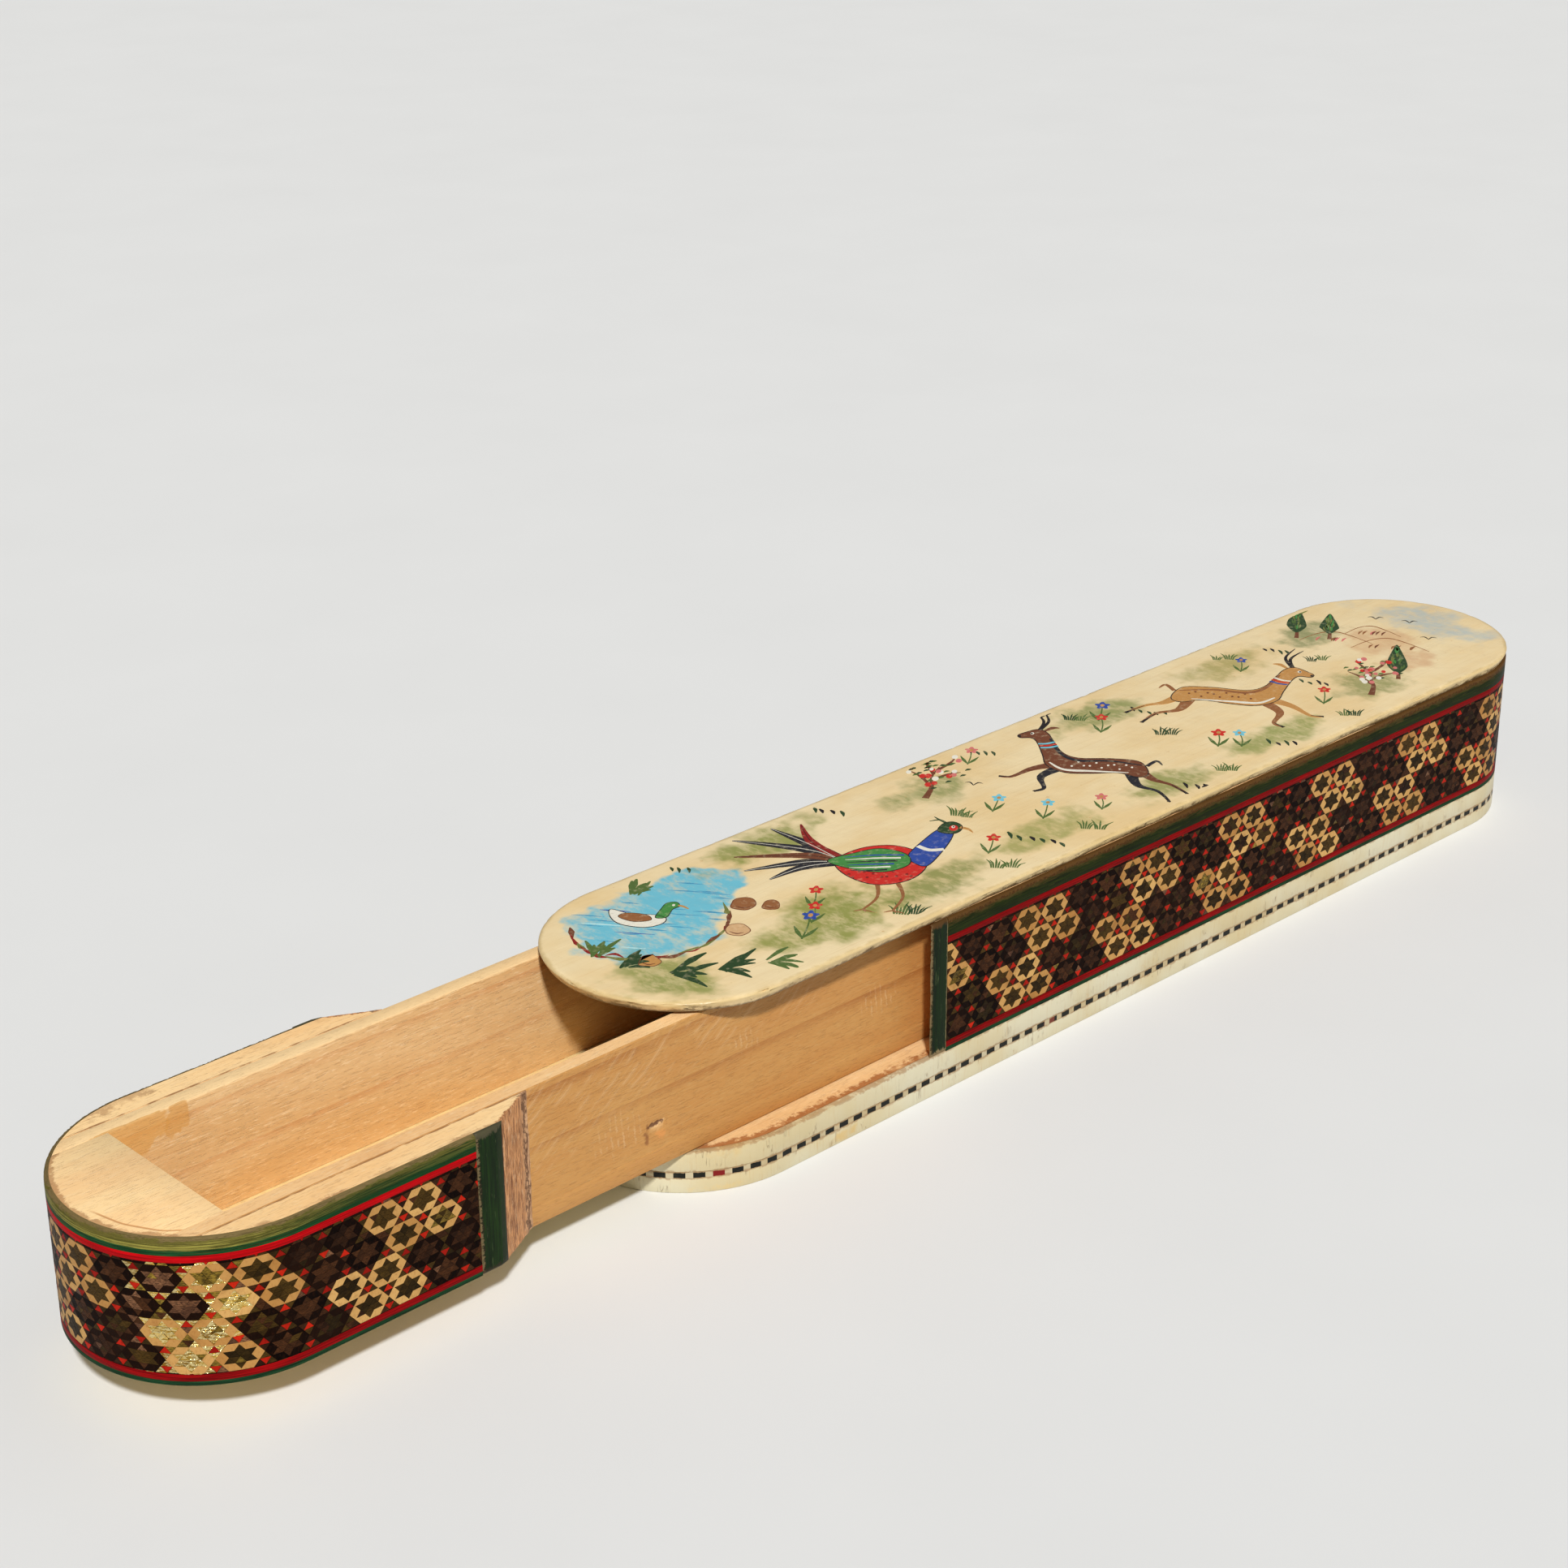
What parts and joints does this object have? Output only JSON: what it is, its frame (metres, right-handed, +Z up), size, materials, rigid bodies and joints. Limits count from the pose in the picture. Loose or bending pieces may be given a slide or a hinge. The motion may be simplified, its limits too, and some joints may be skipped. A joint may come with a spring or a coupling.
{
  "type": "pen box",
  "caption": "Long pen box whose rounded drawer slides in a sleeve faced with star marquetry, with a painted bone top plate and dashed bone edging.",
  "frame": {"origin": "centre of the sleeve's underside, where it stands", "axes": "+X along the box to the sleeve's closed end, -X the way the drawer opens, +Z up"},
  "size_m": [0.3197, 0.045, 0.0332],
  "materials": {
    "edging_bone": "worn satin bone",
    "painted_bone": "yellowed satin bone, painted",
    "dark_wood": "satin",
    "marquetry": "worn lacquer",
    "rosette_bone": "lacquered bone",
    "brass": "dulled",
    "red_wood": "worn lacquer",
    "green_wood": "worn lacquer",
    "drawer_wood": "bare, sawn",
    "pale_wood": "bare"
  },
  "bodies": {
    "sleeve": {"base_core": "pale_wood", "base_edge_lower": "edging_bone", "base_dashes": "dark_wood", "base_dash_squares": "edging_bone", "base_edge_upper": "edging_bone", "near_wall": "pale_wood", "far_wall": "pale_wood", "end_block": "pale_wood", "sleeve_khatam": "marquetry", "sleeve_rosettes": "rosette_bone", "sleeve_stars": "brass", "sleeve_green_band": "green_wood", "sleeve_upper_red": "red_wood", "sleeve_lower_red": "red_wood", "sleeve_lower_green": "green_wood", "near_mouth_strip": "green_wood", "far_mouth_strip": "green_wood", "top_plate": "painted_bone"},
    "drawer": {"drawer_floor": "drawer_wood", "drawer_near_side": "drawer_wood", "drawer_far_side": "drawer_wood", "drawer_back": "drawer_wood", "head_block": "pale_wood", "near_cheek": "pale_wood", "far_cheek": "pale_wood", "head_khatam": "marquetry", "head_rosettes": "rosette_bone", "head_stars": "brass", "head_green_band": "green_wood", "head_upper_red": "red_wood", "head_lower_red": "red_wood", "head_lower_green": "green_wood", "near_cheek_strip": "green_wood", "far_cheek_strip": "green_wood"}
  },
  "joints": [
    {"name": "drawer_slide", "type": "slide", "parent": "sleeve", "child": "drawer", "axis": [-1, 0, 0], "range_m": [-0.088, 0.044]}
  ]
}
